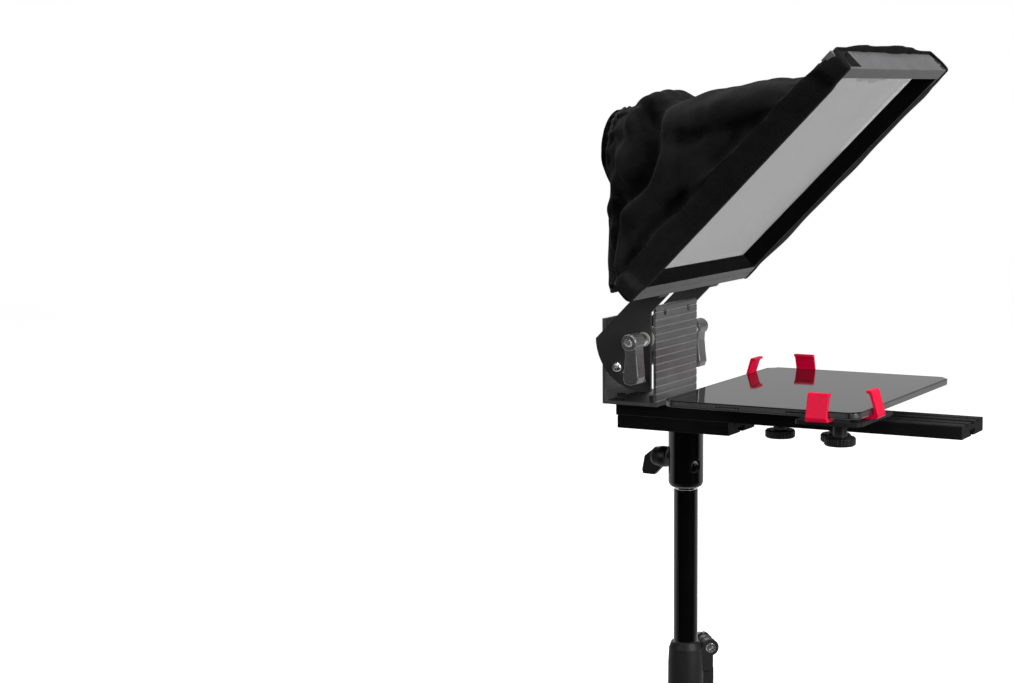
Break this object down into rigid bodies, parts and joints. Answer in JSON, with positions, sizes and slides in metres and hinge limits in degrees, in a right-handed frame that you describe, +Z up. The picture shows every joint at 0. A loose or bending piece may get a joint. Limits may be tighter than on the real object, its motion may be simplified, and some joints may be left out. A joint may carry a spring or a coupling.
{
  "type": "teleprompter",
  "caption": "Tablet teleprompter head on the top of a light stand: tilting half-mirror frame with a cloth lens hood, hinged on an extruded rail that carries a clip cradle and tablet.",
  "frame": {"origin": "on the stand's centre line at the bottom end of the lower tube", "axes": "+Z up the stand, +X towards the reader along the base rail, Y across the rig; the camera lens enters the hood from -X"},
  "size_m": [0.3392, 0.262, 0.6923],
  "materials": {
    "black_anodised_profile": "black anodised, satin, fine extrusion lines",
    "grey_anodised_ribbed": "dark grey anodised, ribbed face",
    "frame_powder_coat": "dark grey powder coat, fine texture",
    "wing_powder_coat": "black powder coat, fine texture",
    "stand_black_paint": "gloss black tube",
    "collar_nylon": "dark grey moulded nylon",
    "black_knob_plastic": "black moulded plastic",
    "chromed_steel": "bright chrome",
    "bright_steel": "zinc plated",
    "black_steel": "black oxide",
    "nylon_white": "natural nylon",
    "beam_splitter": "half-mirror coated glass",
    "flock": "black flock",
    "hook_tape": "black hook tape",
    "hood_velvet": "black velvet cloth",
    "cord": "black braided cord",
    "clip_red": "red moulded plastic",
    "pad_rubber": "black rubber",
    "tablet_metal": "space-grey anodised, bead blasted",
    "tablet_screen_glass": "glossy cover glass",
    "display_black": "dark display stack"
  },
  "bodies": {
    "stand": {"stand_lower_tube": "stand_black_paint", "stand_collar": "collar_nylon", "collar_bolt": "bright_steel"},
    "collar_knob": {"collar_knob": "black_knob_plastic"},
    "riser": {"stand_riser_tube": "stand_black_paint", "riser_bushing": "nylon_white", "stand_spigot": "chromed_steel"},
    "head": {"socket_adaptor": "black_anodised_profile", "socket_bolt": "black_steel", "adaptor_block": "black_anodised_profile", "base_rail": "black_anodised_profile", "block_screws": "black_steel", "slot_nuts": "bright_steel", "upright_channel": "grey_anodised_ribbed", "upright_screws": "black_steel", "pivot_rod": "black_steel", "pivot_washers": "black_steel", "guide_screws": "bright_steel"},
    "wing_screw": {"wing_screw": "black_knob_plastic"},
    "mirror": {"wing_left": "wing_powder_coat", "wing_right": "wing_powder_coat", "bottom_rail": "frame_powder_coat", "top_rail": "frame_powder_coat", "side_rail_left": "wing_powder_coat", "side_rail_right": "wing_powder_coat", "frame_screws": "black_steel", "beam_splitter_glass": "beam_splitter", "glass_lock_screw": "bright_steel", "flock_liners": "flock", "hook_tape": "hook_tape", "hood_shell": "hood_velvet", "hood_drawcord": "cord"},
    "cord_lock": {"cord_lock": "black_knob_plastic"},
    "lever_left": {"lever_insert_left": "black_steel", "lever_handle_left": "black_knob_plastic", "lever_screw_left": "black_steel"},
    "lever_right": {"lever_insert_right": "black_steel", "lever_handle_right": "black_knob_plastic", "lever_screw_right": "black_steel"},
    "cradle": {"cradle_saddle": "black_anodised_profile", "cradle_bar": "black_anodised_profile", "bar_screws": "black_steel", "cradle_bolts": "bright_steel", "tablet_case": "tablet_metal", "tablet_glass": "tablet_screen_glass", "tablet_display": "display_black"},
    "saddle_knob_a": {"saddle_knob_a": "black_knob_plastic"},
    "saddle_knob_b": {"saddle_knob_b": "black_knob_plastic"},
    "arm_knob_front": {"arm_knob_front": "black_knob_plastic"},
    "arm_knob_rear": {"arm_knob_rear": "black_knob_plastic"},
    "arm_front": {"corner_arm_front": "wing_powder_coat", "clips_front": "clip_red", "clip_screws_front": "black_steel", "arm_pads_front": "pad_rubber"},
    "arm_rear": {"corner_arm_rear": "wing_powder_coat", "clips_rear": "clip_red", "clip_screws_rear": "black_steel", "arm_pads_rear": "pad_rubber"},
    "power_key": {"tablet_power_key": "tablet_metal"},
    "volume_keys": {"tablet_volume_keys": "tablet_metal"}
  },
  "joints": [
    {"name": "riser_height", "type": "slide", "parent": "stand", "child": "riser", "axis": [0, 0, 1], "range_m": [0, 0.05]},
    {"name": "collar_knob_turn", "type": "hinge", "parent": "stand", "child": "collar_knob", "pos_m": [0.01598, 0.01439, 0.143], "axis": [0.6691, -0.7431, 0], "continuous": true},
    {"name": "head_pan", "type": "hinge", "parent": "riser", "child": "head", "pos_m": [0, 0, 0.32], "axis": [0, 0, 1], "continuous": true},
    {"name": "wing_screw_turn", "type": "hinge", "parent": "head", "child": "wing_screw", "pos_m": [0, 0, 0.322], "axis": [1, 0, 0], "continuous": true},
    {"name": "mirror_tilt", "type": "hinge", "parent": "head", "child": "mirror", "pos_m": [-0.0202, 0, 0.437], "axis": [0, 1, 0], "range_deg": [-2, 45]},
    {"name": "lever_left_turn", "type": "hinge", "parent": "head", "child": "lever_left", "pos_m": [-0.0202, -0.06, 0.437], "axis": [0, 1, 0], "continuous": true},
    {"name": "lever_right_turn", "type": "hinge", "parent": "head", "child": "lever_right", "pos_m": [-0.0202, 0.06, 0.437], "axis": [0, 1, 0], "continuous": true},
    {"name": "cradle_slide", "type": "slide", "parent": "head", "child": "cradle", "axis": [1, 0, 0], "range_m": [-0.022, 0.055]},
    {"name": "saddle_knob_a_turn", "type": "hinge", "parent": "cradle", "child": "saddle_knob_a", "pos_m": [0.0933, 0, 0.352], "axis": [0, 0, 1], "continuous": true},
    {"name": "saddle_knob_b_turn", "type": "hinge", "parent": "cradle", "child": "saddle_knob_b", "pos_m": [0.1463, 0, 0.352], "axis": [0, 0, 1], "continuous": true},
    {"name": "arm_knob_front_turn", "type": "hinge", "parent": "cradle", "child": "arm_knob_front", "pos_m": [0.17933, -0.07859, 0.362], "axis": [0, 0, 1], "continuous": true},
    {"name": "arm_knob_rear_turn", "type": "hinge", "parent": "cradle", "child": "arm_knob_rear", "pos_m": [0.06597, 0.07859, 0.362], "axis": [0, 0, 1], "continuous": true},
    {"name": "arm_front_slide", "type": "slide", "parent": "cradle", "child": "arm_front", "axis": [0.585, -0.8111, 0], "range_m": [0, 0.03]},
    {"name": "arm_rear_slide", "type": "slide", "parent": "cradle", "child": "arm_rear", "axis": [-0.585, 0.8111, 0], "range_m": [0, 0.03]},
    {"name": "cord_lock_slide", "type": "slide", "parent": "mirror", "child": "cord_lock", "axis": [0, 1, 0], "range_m": [0, 0.012]},
    {"name": "power_key_press", "type": "slide", "parent": "cradle", "child": "power_key", "axis": [0, -1, 0], "range_m": [0, 0.0003]},
    {"name": "volume_key_press", "type": "slide", "parent": "cradle", "child": "volume_keys", "axis": [1, 0, 0], "range_m": [0, 0.0003]}
  ]
}
